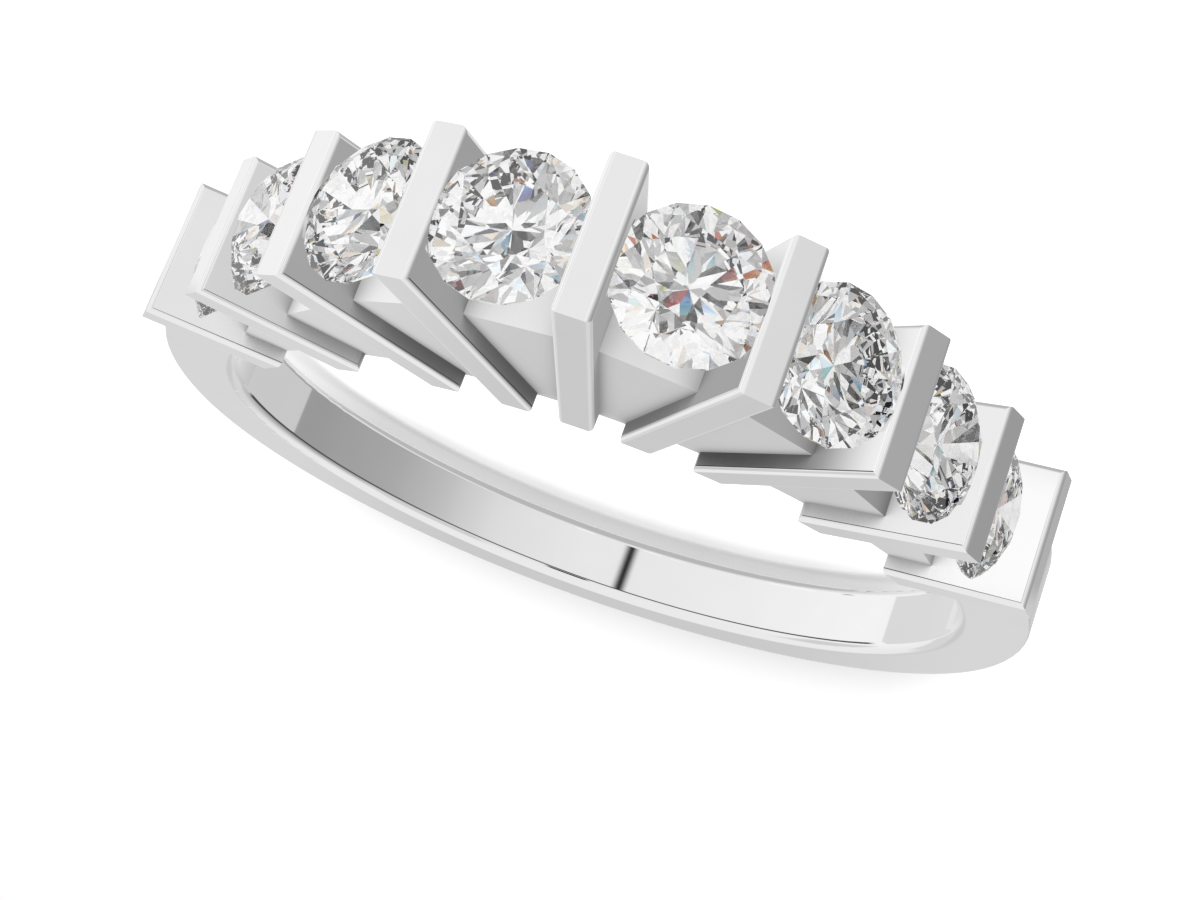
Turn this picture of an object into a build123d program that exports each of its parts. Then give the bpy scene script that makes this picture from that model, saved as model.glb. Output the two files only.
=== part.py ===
from build123d import *
import os
from collections import namedtuple
from math import cos, hypot, pi, radians, sin, tan

os.makedirs("parts", exist_ok=True)

# A ring with nine upright bars, and a round brilliant stone held between each two of them.
# It is drawn with the finger's axis along Z and the middle bar along +Y ("up"), and then turned
# half round, so that the middle bar points to -Y. Lengths are in millimetres. A lean is in degrees
# from "up" towards +X ("across"). Each table gives one side of the ring, and the other mirrors it.

# The finger hole, and the plain shank below the setting
BORE_RADIUS = 8.65
SHANK_WIDTH = 1.70
SHANK_OUTER_RADIUS = 10.17
SHANK_BORE_ROUND = 0.25
SHANK_EDGE_ROUND = 0.06
FLANK_START = -10.0
FLANK_END_AROUND = 73.0
FLANK_END_RADIUS = 10.38
SHOULDER_BELOW_BAR_END = 0.30

# The rims at the shank's outside have their middles at least this far from the finger's axis
OUTER_RIM_FROM = 10.0

# Bars: a flat plate each, whose two big faces have a rounded rim
BAR_THICKNESS = 0.72
BAR_WIDTH = 3.00
BAR_ROUND = 0.11

# Blocks: the solid metal that joins each two bars below the stone
BLOCK_WIDTH = 2.24

# Round brilliants: proportions are parts of the girdle's diameter
GIRDLE_THICKNESS = 0.020
TABLE_ACROSS = 0.56
CROWN_ANGLE = 34.5
STAR_REACH = 0.55
PAVILION_ANGLE = 40.8
LOWER_FACET_REACH = 0.77
FOLDS = 8

# Stones sit in notches that are cut this much wider than the stone
SEAT_CLEARANCE = 0.03

# A drawn outline runs on this far inside the finger hole, which is then cut out of it
INTO_BORE = 0.8
FOOT_SPARE = 0.01

# An edge is taken to lie at a size when it is this near to it
TOUCH = 0.001

# around: angle of the outer end's middle about the finger's axis; radius: its distance from it;
# lean: the plate's own direction; slant: how far the outer end is out of square with the plate
Bar = namedtuple("Bar", "around radius lean slant")
BARS = [
    Bar(around=0.0, radius=14.91, lean=0.0, slant=0.0),
    Bar(around=13.4, radius=14.23, lean=21.5, slant=3.0),
    Bar(around=26.8, radius=13.04, lean=43.2, slant=6.5),
    Bar(around=41.6, radius=11.86, lean=61.2, slant=7.0),
    Bar(around=56.5, radius=11.31, lean=72.8, slant=4.5),
]

# lean: direction in which the block's flat top faces; level: the top's height in that direction
Block = namedtuple("Block", "lean level")
BLOCKS = [
    Block(lean=13.4, level=12.18),
    Block(lean=37.1, level=11.16),
    Block(lean=54.4, level=9.80),
    Block(lean=69.0, level=9.03),
]

# across, up: the girdle's centre; lean: direction of the table; turn: the facets' turn about it
Stone = namedtuple("Stone", "across up lean diameter turn")
STONES = [
    Stone(across=1.63, up=13.98, lean=12.8, diameter=2.92, turn=8.0),
    Stone(across=4.35, up=12.50, lean=36.0, diameter=2.94, turn=14.0),
    Stone(across=6.47, up=10.05, lean=53.0, diameter=2.96, turn=5.0),
    Stone(across=7.93, up=7.33, lean=67.0, diameter=2.88, turn=17.0),
]


def towards(lean):
    """Unit vector that leans from +Y towards +X by that many degrees."""
    return Vector(sin(radians(lean)), cos(radians(lean)))


def outer_middle(bar):
    """Middle of a bar's outer end."""
    return towards(bar.around) * bar.radius


def inner_middle(bar):
    """A point on a bar's centre line, a little inside the finger hole."""
    return outer_middle(bar) - towards(bar.lean) * (bar.radius - BORE_RADIUS + INTO_BORE)


def finger_hole(radius=BORE_RADIUS):
    return Cylinder(radius, 2 * BAR_WIDTH)


def plate(corners, width):
    """Flat prism over an outline, centred on the ring's middle plane."""
    return extrude(make_face(Polyline(*corners, close=True)), width / 2, both=True)


def from_axis(edge):
    """Distance of an edge's middle from the finger's axis."""
    middle = edge @ 0.5
    return hypot(middle.X, middle.Y)


def build_bar(bar):
    """Plate with a rounded rim round each big face. The last bar's foot, in the shank, is sharp."""
    side = towards(bar.lean + 90) * (BAR_THICKNESS / 2)
    longer = towards(bar.lean) * (tan(radians(bar.slant)) * BAR_THICKNESS / 2)
    far, near = outer_middle(bar), inner_middle(bar)
    solid = plate([far - side - longer, far + side + longer, near + side, near - side], BAR_WIDTH)
    solid -= finger_hole(BORE_RADIUS - FOOT_SPARE)
    rims = solid.faces().sort_by(SortBy.AREA)[-2:].edges()
    if bar is BARS[-1]:
        rims = rims.filter_by(lambda edge: from_axis(edge) > BORE_RADIUS)
    return fillet(rims, BAR_ROUND)


def build_block(block, bar, next_bar):
    """Wedge between the centre planes of two neighbouring bars."""
    up = towards(block.lean)
    tops = []
    for each in (bar, next_bar):
        depth = (outer_middle(each).dot(up) - block.level) / towards(each.lean).dot(up)
        tops.append(outer_middle(each) - towards(each.lean) * depth)
    return plate([tops[0], tops[1], inner_middle(next_bar), inner_middle(bar)], BLOCK_WIDTH)


def shank_outline():
    """Closed outline of one half: bottom arc, flatter flank, and a shoulder into the last bar."""
    last = BARS[-1]
    into_bar = towards(last.lean + 90) * (BAR_THICKNESS / 2)
    middle = outer_middle(last) - towards(last.lean) * SHOULDER_BELOW_BAR_END
    bottom = CenterArc((0, 0), SHANK_OUTER_RADIUS, -90, 90 + FLANK_START)
    flank_end = towards(FLANK_END_AROUND) * FLANK_END_RADIUS
    flank = TangentArc(bottom @ 1, flank_end, tangent=bottom % 1)
    shoulder = TangentArc(flank @ 1, middle + into_bar, tangent=flank % 1)
    inner = inner_middle(last)
    closing = Polyline(shoulder @ 1, middle, inner, (0, inner.Y), bottom @ 0)
    return make_face([bottom, flank, shoulder, closing])


def build_shank():
    """Filled shank: the finger hole is cut through the whole ring at once."""
    half = shank_outline()
    return extrude(half + mirror(half, Plane.YZ), SHANK_WIDTH / 2, both=True)


def round_shank(metal):
    """Softens the shank's rims: well rounded at the finger, and barely at the outside."""
    for inside, radius in ((True, SHANK_BORE_ROUND), (False, SHANK_EDGE_ROUND)):
        rims = []
        for edge in metal.edges():
            on_side = abs(abs(edge.center().Z) - SHANK_WIDTH / 2) < TOUCH
            if inside:
                wanted = abs(from_axis(edge) - BORE_RADIUS) < TOUCH
            else:
                wanted = from_axis(edge) > OUTER_RIM_FROM
            if on_side and wanted:
                rims.append(edge)
        metal = fillet(rims, radius)
    return metal


def ring_of(radius, height, first, count):
    """Points on a level circle, evenly spaced, the first at that many degrees."""
    angles = [radians(first + 360 * i / count) for i in range(count)]
    return [Vector(radius * cos(a), radius * sin(a), height) for a in angles]


def stone_levels(diameter):
    """Radius and height of each ring of corners, from the table down to the point."""
    radius = diameter / 2
    half_girdle = diameter * GIRDLE_THICKNESS / 2
    table = radius * TABLE_ACROSS
    half_fold = cos(pi / FOLDS)
    star = table * half_fold + STAR_REACH * (radius - table * half_fold)
    lower = radius * (1 - LOWER_FACET_REACH)
    crown = tan(radians(CROWN_ANGLE))
    pavilion = tan(radians(PAVILION_ANGLE))
    return {
        "table": (table, half_girdle + (radius - table) * crown),
        "star": (star, half_girdle + (radius - star * half_fold) * crown),
        "girdle_top": (radius, half_girdle),
        "girdle_bottom": (radius, -half_girdle),
        "lower": (lower, -half_girdle - (radius - lower * half_fold) * pavilion),
        "point": (0, -half_girdle - radius * pavilion),
    }


def brilliant(diameter):
    """Round brilliant, table up along Z and girdle about the origin: all facets are flat."""
    levels = stone_levels(diameter)
    step = 360 / FOLDS
    table = ring_of(*levels["table"], 0, FOLDS)
    star = ring_of(*levels["star"], step / 2, FOLDS)
    upper = ring_of(*levels["girdle_top"], 0, 2 * FOLDS)
    under = ring_of(*levels["girdle_bottom"], 0, 2 * FOLDS)
    lower = ring_of(*levels["lower"], step / 2, FOLDS)
    point = Vector(0, 0, levels["point"][1])
    facets = [table]
    for i in range(FOLDS):
        after, before = (i + 1) % FOLDS, i - 1
        main, mid, end = 2 * i, 2 * i + 1, (2 * i + 2) % (2 * FOLDS)
        facets.append([table[i], star[i], table[after]])
        facets.append([table[i], star[before], upper[main], star[i]])
        facets.append([upper[main], upper[mid], star[i]])
        facets.append([upper[mid], upper[end], star[i]])
        facets.append([upper[main], under[main], under[mid], upper[mid]])
        facets.append([upper[mid], under[mid], under[end], upper[end]])
        facets.append([under[main], lower[i], under[mid]])
        facets.append([under[mid], lower[i], under[end]])
        facets.append([under[main], lower[before], point, lower[i]])
    return Solid(Shell([Face(Wire.make_polygon(corners)) for corners in facets]))


def seat(diameter):
    """Round cutter that follows the stone's profile, a clearance larger all over."""
    levels = stone_levels(diameter)
    profile = [Vector(0, levels["table"][1] + SEAT_CLEARANCE)]
    for name in ("table", "star", "girdle_top", "girdle_bottom", "lower"):
        radius, height = levels[name]
        out = SEAT_CLEARANCE if height > 0 else -SEAT_CLEARANCE
        profile.append(Vector(radius + SEAT_CLEARANCE, height + out))
    profile.append(Vector(0, levels["point"][1] - 2 * SEAT_CLEARANCE))
    face = make_face(Polyline(*profile, close=True))
    return revolve(Plane.XZ * face, Axis.Z)


def stone_place(stone):
    """Where a stone goes: its table faces away from the finger, in the ring's middle plane."""
    table_way = towards(stone.lean)
    return Plane(origin=(stone.across, stone.up, 0), x_dir=(0, 0, 1), z_dir=table_way)


def both_sides(solid):
    return [solid, mirror(solid, Plane.YZ)]


def build_metal():
    pieces = [build_shank(), build_bar(BARS[0])]
    for bar in BARS[1:]:
        pieces += both_sides(build_bar(bar))
    for block, bar, next_bar in zip(BLOCKS, BARS, BARS[1:]):
        pieces += both_sides(build_block(block, bar, next_bar))
    seats = []
    for stone in STONES:
        seats += both_sides(stone_place(stone) * seat(stone.diameter))
    metal = pieces[0]
    for piece in pieces[1:]:
        metal += piece
    metal = round_shank(metal - finger_hole())
    for each in seats:
        metal -= each
    return metal


def build_stones():
    """The stones in order round the ring, from the -X end of the drawing to its +X end."""
    right = []
    for stone in STONES:
        right.append(stone_place(stone) * Rot(0, 0, stone.turn) * brilliant(stone.diameter))
    left = [mirror(stone, Plane.YZ) for stone in right]
    return left[::-1] + right


def write(shape, name):
    export_step(Rot(0, 0, 180) * shape, f"parts/{name}.step")


write(build_metal(), "band_with_bars")
for number, stone in enumerate(build_stones(), start=1):
    write(stone, f"stone_{number}")
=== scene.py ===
"""Looks of a bar set band: a polished white ring whose upright bars hold a row of eight round brilliants.

Lengths are metres in the ring's own frame: +Z is the finger's axis, -Y points towards the middle bar, and
the ring lies on its side. The metal and the stones keep their modelled shapes and get their finishes here.
A heading is an angle about +Z from +X, and a height is an angle above the level, both in degrees. A tone is
a brightness as a picture shows it, 1 for white.
"""

import logging
import math
from dataclasses import dataclass, field
from enum import Enum

import bpy
import numpy as np
from mathutils import Matrix, Vector


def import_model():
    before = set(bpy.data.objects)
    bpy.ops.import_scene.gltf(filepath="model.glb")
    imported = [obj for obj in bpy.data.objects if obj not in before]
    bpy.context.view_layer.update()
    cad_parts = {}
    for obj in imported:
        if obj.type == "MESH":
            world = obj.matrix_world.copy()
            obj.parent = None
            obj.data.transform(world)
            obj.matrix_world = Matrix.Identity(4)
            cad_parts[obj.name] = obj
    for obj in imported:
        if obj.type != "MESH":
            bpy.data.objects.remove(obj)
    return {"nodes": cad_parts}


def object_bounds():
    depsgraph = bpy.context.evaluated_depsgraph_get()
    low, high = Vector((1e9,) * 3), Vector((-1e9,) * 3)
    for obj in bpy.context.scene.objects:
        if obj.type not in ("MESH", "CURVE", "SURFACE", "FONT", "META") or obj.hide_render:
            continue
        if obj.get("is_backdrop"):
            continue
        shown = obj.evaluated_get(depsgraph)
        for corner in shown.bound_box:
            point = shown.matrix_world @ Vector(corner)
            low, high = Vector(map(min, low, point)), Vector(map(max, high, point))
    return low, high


LOG = logging.getLogger("bar_set_band")
MM = 0.001
TURN = 360.0
HALF_TURN = 180.0
Socket = bpy.types.NodeSocket
Colour = tuple[float, float, float, float]

# Places of the colour sockets on a Mix node, whose other sockets carry numbers and vectors
MIX_A = 6
MIX_B = 7
MIX_RESULT = 2

# A new colour ramp comes with this many stops
FIRST_STOPS = 2


class Ray(Enum):
    """Kinds of ray that the studio or the stones answer in their own way, by Light Path output."""

    CAMERA = "Is Camera Ray"
    DIFFUSE = "Is Diffuse Ray"
    THROUGH_STONE = "Is Transmission Ray"
    MIRRORED = "Is Glossy Ray"
    SHARP = "Is Singular Ray"


def neutral(light: float) -> Colour:
    """A neutral colour with that linear light."""
    return (light, light, light, 1.0)


def grey(tone: float) -> Colour:
    """A neutral colour with that tone, by the sRGB curve.

    The curve is a straight line up to a tone of 0.04045, and a power of 2.4 above it.

    Args:
        tone: the colour's tone.

    Returns:
        The colour, in linear light.
    """
    if tone <= 0.04045:
        return neutral(tone / 12.92)
    return neutral(((tone + 0.055) / 1.055) ** 2.4)


@dataclass(frozen=True)
class Grain:
    """A noise pattern: its waves to the unit, its finer layers, and how strong each is beside the last."""

    scale: float
    detail: float = 2.0
    roughness: float = 0.5


class Tree:
    """Short calls for building a node tree."""

    def __init__(self, tree: bpy.types.NodeTree) -> None:
        """Empties the tree and keeps it.

        Args:
            tree: the tree to fill.
        """
        tree.nodes.clear()
        self.nodes = tree.nodes
        self.links = tree.links

    def add(self, kind: str, **settings: object) -> bpy.types.Node:
        """Adds a node.

        Args:
            kind: the node's type name after "ShaderNode".
            settings: properties of the node.

        Returns:
            The new node.
        """
        node = self.nodes.new("ShaderNode" + kind)
        for name, value in settings.items():
            setattr(node, name, value)
        return node

    def feed(self, socket: Socket, value: object) -> None:
        """Links an output to a socket, or sets a plain value on it.

        Args:
            socket: the input.
            value: an output, a number or a tuple of numbers.
        """
        if isinstance(value, Socket):
            self.links.new(value, socket)
        else:
            socket.default_value = value

    def fill(self, node: bpy.types.Node, values: dict[str, object]) -> None:
        """Feeds a node's inputs by their names."""
        for name, value in values.items():
            self.feed(node.inputs[name], value)

    def maths(self, operation: str, *values: object) -> Socket:
        """Adds a Math node.

        Args:
            operation: the node's operation.
            values: sockets or numbers, as many as the operation takes.

        Returns:
            The number worked out.
        """
        node = self.add("Math", operation=operation)
        for socket, value in zip(node.inputs, values, strict=False):
            self.feed(socket, value)
        return node.outputs[0]

    def vector(self, operation: str, a: Socket, b: object = None, output: str = "Vector") -> Socket:
        """Adds a Vector Math node.

        Args:
            operation: the node's operation.
            a: the vector it works on.
            b: a second vector, or the factor of a SCALE, where the operation takes one.
            output: the output's name.

        Returns:
            The output with that name.
        """
        node = self.add("VectorMath", operation=operation)
        self.feed(node.inputs[0], a)
        if b is not None:
            self.feed(node.inputs["Scale" if operation == "SCALE" else 1], b)
        return node.outputs[output]

    def parts(self, vector: Socket) -> tuple[Socket, ...]:
        """Takes a vector apart.

        Args:
            vector: the vector.

        Returns:
            Its X, Y and Z.
        """
        node = self.add("SeparateXYZ")
        self.feed(node.inputs[0], vector)
        return tuple(node.outputs)

    def mix(self, factor: object, a: object, b: object) -> Socket:
        """Mixes two colours.

        Args:
            factor: 0 for a, 1 for b.
            a: a colour.
            b: another colour.

        Returns:
            The mixed colour.
        """
        node = self.add("Mix", data_type="RGBA")
        for place, value in ((0, factor), (MIX_A, a), (MIX_B, b)):
            self.feed(node.inputs[place], value)
        return node.outputs[MIX_RESULT]

    def shader_mix(self, factor: Socket, a: Socket, b: Socket) -> Socket:
        """Mixes two shaders.

        Args:
            factor: 0 for a, 1 for b.
            a: a shader.
            b: another shader.

        Returns:
            The mixed shader.
        """
        node = self.add("MixShader")
        for socket, value in zip(node.inputs, (factor, a, b), strict=True):
            self.feed(socket, value)
        return node.outputs[0]

    def step(self, value: Socket, low: float, high: float) -> Socket:
        """Adds a smooth step.

        Args:
            value: the number that it follows.
            low: where the step is 0.
            high: where the step is 1, which may be below low.

        Returns:
            The step, from 0 to 1.
        """
        node = self.add("MapRange", interpolation_type="SMOOTHSTEP")
        ends = (low, high, 0.0, 1.0) if low < high else (high, low, 1.0, 0.0)
        names = ("From Min", "From Max", "To Min", "To Max")
        self.fill(node, {"Value": value, **dict(zip(names, ends, strict=True))})
        return node.outputs["Result"]

    def noise(self, vector: Socket, grain: Grain) -> Socket:
        """Adds a noise.

        Args:
            vector: where the noise is read.
            grain: its pattern.

        Returns:
            The noise's value, mostly near a half.
        """
        node = self.add("TexNoise")
        pattern = {"Scale": grain.scale, "Detail": grain.detail, "Roughness": grain.roughness}
        self.fill(node, {"Vector": vector, **pattern})
        return node.outputs[0]

    def end(self, kind: str, shader: Socket) -> None:
        """Gives the tree's shader to its output node."""
        self.feed(self.add(kind).inputs["Surface"], shader)


def new_finish(name: str) -> tuple[bpy.types.Material, Tree]:
    """Makes an empty material.

    Args:
        name: the material's name.

    Returns:
        The material and its tree.
    """
    material = bpy.data.materials.new(name)
    material.use_nodes = True
    return material, Tree(material.node_tree)


@dataclass(frozen=True)
class Zone:
    """A part of the studio above or below the wall, of one tone, that fades in between two heights."""

    tone: float
    starts: float
    full: float


@dataclass(frozen=True)
class Card:
    """A soft edged panel of the studio, of one tone, over a range of headings and heights."""

    heading: float
    half_width: float
    height: float
    half_height: float
    tone: float
    soft: float = 2.0


@dataclass
class Studio:
    """The light around the ring.

    The polished metal mirrors a wall whose tone goes round with the heading, zones above and below it, and
    cards in front of them. Light that comes through a stone comes from a spotted wall, whose noise goes from
    dark to middle and on to bright. It is read a little aside for red and for blue, which stands for the way
    a diamond spreads colours. The floor gets even light, and the camera sees plain white.
    """

    wall: tuple[tuple[float, float], ...] = (
        (-180, 0.65),
        (-158, 0.70),
        (-140, 0.79),
        (-125, 0.88),
        (-100, 0.93),
        (-60, 0.945),
        (-25, 0.965),
        (20, 0.985),
        (60, 0.94),
        (84, 0.88),
        (120, 0.74),
        (150, 0.63),
    )
    zones: tuple[Zone, ...] = (
        Zone(tone=0.95, starts=5.0, full=45.0),
        Zone(tone=0.91, starts=-25.0, full=-32.0),
        Zone(tone=0.74, starts=-35.0, full=-50.0),
    )
    cards: tuple[Card, ...] = (
        Card(heading=131, half_width=20, height=-7, half_height=8, tone=0.81, soft=0.8),
        Card(heading=50, half_width=23, height=-7, half_height=8, tone=0.88, soft=0.8),
        Card(heading=84, half_width=26, height=16, half_height=11, tone=0.86, soft=6.0),
        Card(heading=-77.5, half_width=1.6, height=-8, half_height=9, tone=0.15, soft=3.0),
        Card(heading=-61.5, half_width=3.0, height=-16.3, half_height=2.0, tone=1.02, soft=1.5),
        Card(heading=-110, half_width=130, height=-2, half_height=6, tone=0.30, soft=5.0),
        Card(heading=86, half_width=7, height=14, half_height=6, tone=0.81, soft=6.0),
        Card(heading=-95, half_width=7, height=14, half_height=7, tone=0.15, soft=3.0),
        Card(heading=-150, half_width=22, height=28, half_height=16, tone=0.84, soft=8.0),
        Card(heading=10, half_width=16, height=30, half_height=14, tone=0.84, soft=8.0),
        Card(heading=-94, half_width=3, height=-20, half_height=4.5, tone=1.02),
        Card(heading=-70, half_width=3, height=-20, half_height=4.5, tone=1.02),
        Card(heading=-18, half_width=9, height=-20, half_height=4.5, tone=1.02),
        Card(heading=75, half_width=11, height=-20, half_height=4.5, tone=1.02),
        Card(heading=5, half_width=2.2, height=-18, half_height=3, tone=0.55),
        Card(heading=51, half_width=3, height=-18, half_height=3, tone=0.66),
        Card(heading=97, half_width=3, height=-18, half_height=3, tone=0.66),
    )
    floor_light: float = 0.59
    spots: Grain = Grain(1.7)
    spread: tuple[float, float, float] = (0.005, 0.003, -0.005)
    dark_to_middle: tuple[float, float] = (0.38, 0.395)
    middle_to_bright: tuple[float, float] = (0.455, 0.49)
    dark_light: float = 0.0
    middle_light: float = 0.47
    bright_light: float = 1.02

    def build(self) -> bpy.types.World:
        """Makes the world.

        Returns:
            The scene's new world.
        """
        world = bpy.data.worlds.new("studio")
        world.use_nodes = True
        world.cycles.sampling_method = "NONE"
        tree = Tree(world.node_tree)
        ray_way = tree.add("TexCoord").outputs["Generated"]
        kind = tree.add("LightPath")
        colour = self.mirrored(tree, ray_way)
        answers = {
            Ray.THROUGH_STONE: self.through_stones(tree, ray_way),
            Ray.DIFFUSE: neutral(self.floor_light),
            Ray.CAMERA: grey(1.0),
        }
        for ray, answer in answers.items():
            colour = tree.mix(kind.outputs[ray.value], colour, answer)
        background = tree.add("Background")
        tree.feed(background.inputs["Color"], colour)
        tree.end("OutputWorld", background.outputs[0])
        bpy.context.scene.world = world
        return world

    def mirrored(self, tree: Tree, ray_way: Socket) -> Socket:
        """The colour that the metal mirrors.

        Args:
            tree: the world's nodes.
            ray_way: the direction in which a ray leaves.

        Returns:
            The wall's tone, with the zones and then the cards over it.
        """
        x, y, z = tree.parts(ray_way)
        heading = tree.maths("DEGREES", tree.maths("ARCTAN2", y, x))
        height = tree.maths("DEGREES", tree.maths("ARCSINE", z))
        colour = self.wall_tone(tree, heading)
        for zone in self.zones:
            colour = tree.mix(tree.step(height, zone.starts, zone.full), colour, grey(zone.tone))
        for card in self.cards:
            colour = tree.mix(self.within(tree, card, heading, height), colour, grey(card.tone))
        return colour

    def wall_tone(self, tree: Tree, heading: Socket) -> Socket:
        """The wall's colour, which runs smoothly round through the tones of its table.

        Args:
            tree: the world's nodes.
            heading: the ray's heading.

        Returns:
            The colour at that heading.
        """
        ramp = tree.add("ValToRGB")
        ramp.color_ramp.interpolation = "CARDINAL"
        stops = ramp.color_ramp.elements
        for number, (at, tone) in enumerate([*self.wall, (HALF_TURN, self.wall[0][1])]):
            place = (at + HALF_TURN) / TURN
            if number < FIRST_STOPS:
                stop = stops[number]
                stop.position = place
            else:
                stop = stops.new(place)
            stop.color = grey(tone)
        share = tree.maths("DIVIDE", tree.maths("ADD", heading, HALF_TURN), TURN)
        tree.feed(ramp.inputs[0], share)
        return ramp.outputs[0]

    def within(self, tree: Tree, card: Card, heading: Socket, height: Socket) -> Socket:
        """1 inside a card and 0 outside it, with a soft edge.

        Args:
            tree: the world's nodes.
            card: the panel.
            heading: the ray's heading.
            height: the ray's height.

        Returns:
            The product of one mask across and one up.
        """
        aside = tree.maths("SUBTRACT", heading, float(card.heading))
        across = tree.maths("ABSOLUTE", tree.maths("WRAP", aside, HALF_TURN, -HALF_TURN))
        up = tree.maths("ABSOLUTE", tree.maths("SUBTRACT", height, float(card.height)))
        masks = [
            tree.step(measure, half + card.soft / 2, half - card.soft / 2)
            for measure, half in ((across, card.half_width), (up, card.half_height))
        ]
        return tree.maths("MULTIPLY", *masks)

    def through_stones(self, tree: Tree, ray_way: Socket) -> Socket:
        """The colour that light through a stone comes from.

        Args:
            tree: the world's nodes.
            ray_way: the direction in which a ray leaves.

        Returns:
            The spotted wall, read at a slightly different place for each of the three colours.
        """
        join = tree.add("CombineColor")
        for channel, side in zip(join.inputs, (-1.0, 0.0, 1.0), strict=True):
            moved = tree.vector("ADD", ray_way, tuple(side * shift for shift in self.spread))
            value = tree.noise(moved, self.spots)
            light = self.dark_light
            for share, rise in (
                (self.dark_to_middle, self.middle_light - self.dark_light),
                (self.middle_to_bright, self.bright_light - self.middle_light),
            ):
                light = tree.maths("MULTIPLY_ADD", tree.step(value, *share), rise, light)
            tree.feed(channel, light)
        return join.outputs[0]


@dataclass(frozen=True)
class PaleTop:
    """A pale matt finish, a little uneven, with a painted glow on the bars' side that whitens out the ring's
    shadow there.

    The painted glow is full up to glow_full along Y, and fades from there to glow_ends.
    """

    name: str = "pale_floor"
    tone: float = 0.93
    unevenness: float = 0.02
    mottle: Grain = Grain(40.0)
    roughness: float = 0.8
    painted_glow: float = 0.8
    glow_full: float = 1 * MM
    glow_ends: float = 14 * MM

    def material(self) -> bpy.types.Material:
        """Makes the material.

        Returns:
            A matt floor whose tone follows a noise in the ring's frame.
        """
        material, tree = new_finish(self.name)
        spot = tree.add("TexCoord").outputs["Object"]
        mottled = tree.mix(tree.noise(spot, self.mottle), grey(self.tone), grey(self.tone + self.unevenness))
        y = tree.parts(spot)[1]
        # Painted light: the floor glows, full on the bars' side and fading towards the far side, so the
        # ring's shadow there turns white
        painted_glow = tree.maths("MULTIPLY", tree.step(y, self.glow_ends, self.glow_full), self.painted_glow)
        shader = tree.add("BsdfPrincipled")
        tree.fill(
            shader,
            {
                "Base Color": mottled,
                "Roughness": self.roughness,
                "Specular IOR Level": 0.0,
                "Emission Color": neutral(1.0),
                "Emission Strength": painted_glow,
            },
        )
        tree.end("OutputMaterial", shader.outputs[0])
        return material


@dataclass
class Floor:
    """The plain pale floor that the ring lies on, as a disc."""

    radius: float = 1.5
    rings: int = 12
    spokes: int = 96
    top: PaleTop = field(default_factory=PaleTop)

    def build(self, level: float) -> bpy.types.Object:
        """Makes the floor.

        Args:
            level: how high the floor lies.

        Returns:
            The floor's object.
        """
        # A disc in polar steps: a ring's radius is the floor's times its share squared, and one centre point
        shares = (np.arange(1, self.rings + 1) / self.rings) ** 2 * self.radius
        turns = np.linspace(0.0, 2 * math.pi, self.spokes, endpoint=False)
        rim = np.stack(
            [
                np.outer(shares, np.cos(turns)),
                np.outer(shares, np.sin(turns)),
                np.full((self.rings, self.spokes), level),
            ],
            axis=-1,
        ).reshape(-1, 3)
        points = np.concatenate([rim, [[0.0, 0.0, level]]])
        here = np.arange(self.spokes)
        after = (here + 1) % self.spokes
        quads = [
            np.stack([row + here, row + self.spokes + here, row + self.spokes + after, row + after], axis=-1)
            for row in np.arange(self.rings - 1) * self.spokes
        ]
        middle = np.stack([np.full(self.spokes, len(rim)), here, after], axis=-1)
        mesh = bpy.data.meshes.new("floor")
        mesh.from_pydata(points.tolist(), [], np.concatenate(quads).tolist() + middle.tolist())
        floor = bpy.data.objects.new("floor", mesh)
        bpy.context.scene.collection.objects.link(floor)
        floor.data.materials.append(self.top.material())
        floor.visible_glossy = False
        floor.visible_transmission = False
        floor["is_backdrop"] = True
        LOG.info("floor: %d faces", len(mesh.polygons))
        return floor


@dataclass
class Lamp:
    """A broad far lamp on the bars' side that lights the floor only and gives the ring a soft shadow."""

    name: str
    height: float
    strength: float
    breadth: float

    def build(self) -> bpy.types.Object:
        """Makes the lamp.

        Returns:
            The lamp's object.
        """
        light = bpy.data.lights.new(self.name, "SUN")
        light.energy = self.strength
        light.angle = math.radians(self.breadth)
        lamp = bpy.data.objects.new(self.name, light)
        lamp.rotation_euler = (math.radians(90.0 - self.height), 0.0, 0.0)
        lamp.visible_glossy = False
        lamp.visible_transmission = False
        bpy.context.scene.collection.objects.link(lamp)
        lamp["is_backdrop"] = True
        LOG.info("%s: %g degrees high", self.name, self.height)
        return lamp


LAMPS = (
    Lamp("high_lamp", height=32.0, strength=2.1, breadth=14.0),
    Lamp("low_lamp", height=8.0, strength=8.0, breadth=8.0),
)


@dataclass
class Shot:
    """The camera: where it stands, where it looks and how far it is rolled about its own line of sight."""

    place: tuple[float, float, float] = (-4.466 * MM, -48.044 * MM, 12.398 * MM)
    aside: float = 5.602
    down: float = 15.026
    roll: float = 159.80
    lens: float = 64.806
    film: float = 36.0
    nearest: float = 1 * MM
    farthest: float = 100.0

    def build(self) -> bpy.types.Object:
        """Makes the camera and gives it to the scene.

        Returns:
            The camera's object.
        """
        aside, down, roll = (math.radians(angle) for angle in (self.aside, self.down, self.roll))
        look = Vector(
            (math.sin(aside) * math.cos(down), math.cos(aside) * math.cos(down), -math.sin(down))
        )
        level_right = look.cross(Vector((0.0, 0.0, 1.0))).normalized()
        level_up = level_right.cross(look)
        right = level_right * math.cos(roll) - level_up * math.sin(roll)
        up = level_up * math.cos(roll) + level_right * math.sin(roll)
        data = bpy.data.cameras.new("camera")
        data.sensor_fit = "HORIZONTAL"
        data.sensor_width = self.film
        data.lens = self.lens
        data.clip_start = self.nearest
        data.clip_end = self.farthest
        camera = bpy.data.objects.new("camera", data)
        axes = Matrix((right, up, -look)).transposed().to_4x4()
        camera.matrix_world = Matrix.Translation(self.place) @ axes
        bpy.context.scene.collection.objects.link(camera)
        bpy.context.scene.camera = camera
        return camera


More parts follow.
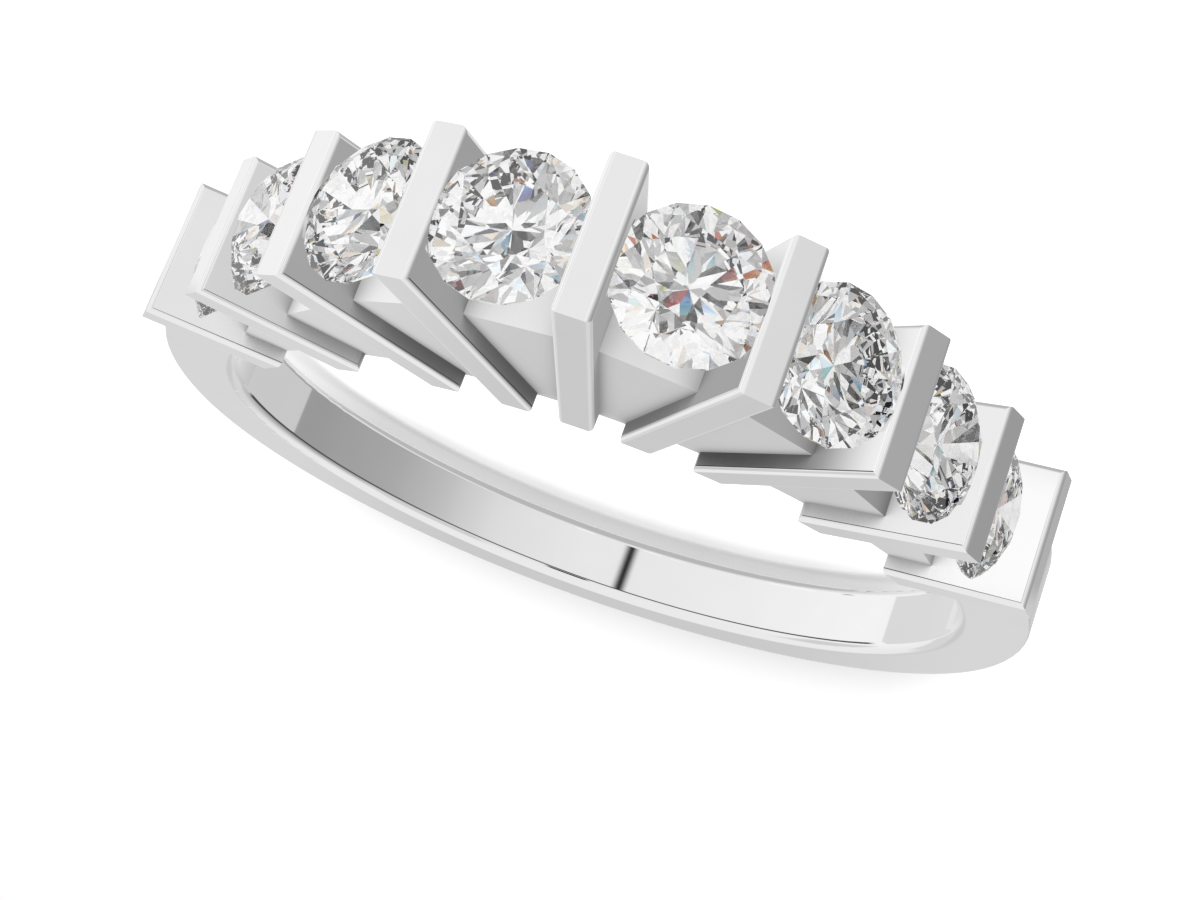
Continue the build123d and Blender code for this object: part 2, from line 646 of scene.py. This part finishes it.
@dataclass(frozen=True)
class PolishedMetal:
    """White metal at a high polish: nearly a mirror, with the faint unevenness that a buffing wheel leaves.

    Its colour carries painted shade: it darkens towards the shade tone where other metal within crease_reach
    hides it, fully at the first of crease_share, the open share of its surroundings, and not at all at the
    second. The shank's inner rims are rounded about circles at rim_radius from the finger's axis and
    rim_level from the ring's middle plane, from rim_from along Y to the back.
    """

    name: str = "polished_white_metal"
    darkest: float = 0.955
    lightest: float = 0.975
    clouds: Grain = Grain(900.0, detail=3.0)
    smoothest: float = 0.025
    roughest: float = 0.06
    haze: Grain = Grain(2600.0, detail=4.0, roughness=0.65)
    waves: Grain = Grain(420.0, detail=1.0)
    wave_depth: float = 0.0006 * MM
    painted_shade_tone: float = 0.50
    crease_reach: float = 1.6 * MM
    crease_share: tuple[float, float] = (0.35, 0.90)
    crease_samples: int = 16
    rim_radius: float = 8.90 * MM
    rim_level: float = 0.60 * MM
    rim_from: float = -5.0 * MM
    rim_spare: float = 0.012 * MM

    def material(self) -> bpy.types.Material:
        """Makes the material.

        Returns:
            A metal whose tone, roughness and bump each follow their own noise in the ring's frame.
        """
        material, tree = new_finish(self.name)
        spot = tree.add("TexCoord").outputs["Object"]
        polish = tree.mix(tree.noise(spot, self.clouds), grey(self.darkest), grey(self.lightest))
        haze = tree.noise(spot, self.haze)
        bump = tree.add("Bump")
        waves = tree.noise(spot, self.waves)
        tree.fill(bump, {"Strength": 1.0, "Distance": self.wave_depth, "Height": waves})
        shader = tree.add("BsdfPrincipled")
        tree.fill(
            shader,
            {
                "Metallic": 1.0,
                "Base Color": self.paint_crease_shade(tree, polish),
                "Roughness": tree.maths(
                    "MULTIPLY_ADD", haze, self.roughest - self.smoothest, self.smoothest
                ),
                "Normal": self.with_round_rim(tree, spot, bump.outputs["Normal"]),
            },
        )
        tree.end("OutputMaterial", shader.outputs[0])
        return material

    def paint_crease_shade(self, tree: Tree, polish: Socket) -> Socket:
        """Paints shade into the metal's colour where it is hidden from most of the studio.

        Args:
            tree: the metal's nodes.
            polish: the metal's open colour.

        Returns:
            The colour, with painted shade in the creases.
        """
        # Painted shade: ambient occlusion darkens the base colour in creases and between the bars
        hidden = tree.add("AmbientOcclusion", samples=self.crease_samples, only_local=True)
        hidden.inputs["Distance"].default_value = self.crease_reach
        open_share = tree.step(hidden.outputs["AO"], *self.crease_share)
        return tree.mix(open_share, grey(self.painted_shade_tone), polish)

    def with_round_rim(self, tree: Tree, spot: Socket, normal: Socket) -> Socket:
        """Keeps the shank's rounded inner rims truly round where the mesh has flat steps.

        Args:
            tree: the metal's nodes.
            spot: the place on the ring.
            normal: the normal elsewhere.

        Returns:
            On a rim, the way from the middle of its rounding to the place, and elsewhere the normal given.
        """
        y, z = tree.parts(spot)[1:]
        level = tree.maths("ABSOLUTE", z)
        flat = tree.vector("MULTIPLY", spot, (1.0, 1.0, 0.0))
        away = tree.vector("LENGTH", flat, output="Value")
        out = tree.maths("SUBTRACT", away, self.rim_radius)
        aside = tree.vector("SCALE", tree.vector("NORMALIZE", flat), out)
        over = tree.maths("SUBTRACT", level, self.rim_level)
        rise = tree.add("CombineXYZ")
        tree.feed(rise.inputs["Z"], tree.maths("MULTIPLY", over, tree.maths("SIGN", z)))
        round_way = tree.vector("NORMALIZE", tree.vector("ADD", aside, rise.outputs[0]))
        on_rim = tree.maths("LESS_THAN", away, self.rim_radius - self.rim_spare)
        for value, limit in ((level, self.rim_level), (y, self.rim_from)):
            on_rim = tree.maths("MULTIPLY", on_rim, tree.maths("GREATER_THAN", value, limit))
        return tree.mix(on_rim, normal, round_way)


@dataclass(frozen=True)
class Diamond:
    """A clear polished stone that bends light as a diamond does.

    The metal doesn't mirror the stones: a ray that leaves its slightly rough polish goes on through them.
    A ray that a stone's own facets mirror is sharp and meets them as usual.
    """

    name: str = "clear_diamond"
    bending: float = 2.417
    clearest: float = 1.0
    cloudiest: float = 0.97
    clouds: Grain = Grain(1500.0)
    cloud_edges: tuple[float, float] = (0.35, 0.7)

    def material(self) -> bpy.types.Material:
        """Makes the material.

        Returns:
            A clear stone with the faintest clouding inside, read on the ring's frame.
        """
        material, tree = new_finish(self.name)
        spot = tree.add("TexCoord").outputs["Object"]
        cloud = tree.step(tree.noise(spot, self.clouds), *self.cloud_edges)
        shader = tree.add("BsdfPrincipled")
        tree.fill(
            shader,
            {
                "Base Color": tree.mix(cloud, grey(self.clearest), grey(self.cloudiest)),
                "Roughness": 0.0,
                "IOR": self.bending,
                "Transmission Weight": 1.0,
            },
        )
        stone = shader.outputs[0]
        kind = tree.add("LightPath").outputs
        nothing = tree.add("BsdfTransparent").outputs[0]
        unmirrored = tree.shader_mix(kind[Ray.MIRRORED.value], stone, nothing)
        tree.end("OutputMaterial", tree.shader_mix(kind[Ray.SHARP.value], unmirrored, stone))
        return material


def dress(piece: bpy.types.Object, material: bpy.types.Material) -> None:
    """Gives a piece its finish in each of its material slots."""
    for slot in piece.material_slots:
        slot.material = material


@dataclass
class Band:
    """The shank, bars and blocks, which are one piece of metal.

    It doesn't mirror itself and isn't seen through the stones: both show the studio there.
    """

    node: str = "band_with_bars"
    metal: PolishedMetal = field(default_factory=PolishedMetal)

    def build(self, nodes: dict[str, bpy.types.Object]) -> None:
        """Finishes the metal.

        Args:
            nodes: the modelled pieces by name.
        """
        piece = nodes[self.node]
        dress(piece, self.metal.material())
        piece.visible_glossy = False
        piece.visible_transmission = False
        LOG.info("%s: %d faces", self.node, len(piece.data.polygons))


@dataclass
class StoneRow:
    """The round brilliants, one between each two bars."""

    count: int = 8
    clear: Diamond = field(default_factory=Diamond)

    def build(self, nodes: dict[str, bpy.types.Object]) -> None:
        """Finishes each stone.

        Args:
            nodes: the modelled pieces by name.
        """
        material = self.clear.material()
        for number in range(1, self.count + 1):
            stone = nodes[f"stone_{number}"]
            dress(stone, material)
            LOG.info("%s: %d faces", stone.name, len(stone.data.polygons))


def set_up_light_paths() -> None:
    """Lets light bounce often enough inside the stones, and shows tones as they are lit."""
    scene = bpy.context.scene
    scene.view_settings.view_transform = "Standard"
    scene.cycles.max_bounces = 12
    scene.cycles.glossy_bounces = 9
    scene.cycles.transmission_bounces = 8
    scene.cycles.diffuse_bounces = 3
    scene.cycles.caustics_reflective = False
    scene.cycles.caustics_refractive = False
    scene.cycles.blur_glossy = 0.0
    scene.cycles.use_denoising = True


def main() -> None:
    """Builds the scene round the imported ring."""
    logging.basicConfig(level=logging.INFO, format="%(message)s")
    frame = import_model()
    cad_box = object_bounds()
    set_up_light_paths()
    Shot().build()
    Studio().build()
    Floor().build(level=float(cad_box[0][2]))
    for lamp in LAMPS:
        lamp.build()
    Band().build(frame["nodes"])
    StoneRow().build(frame["nodes"])


if __name__ == "__main__":
    main()
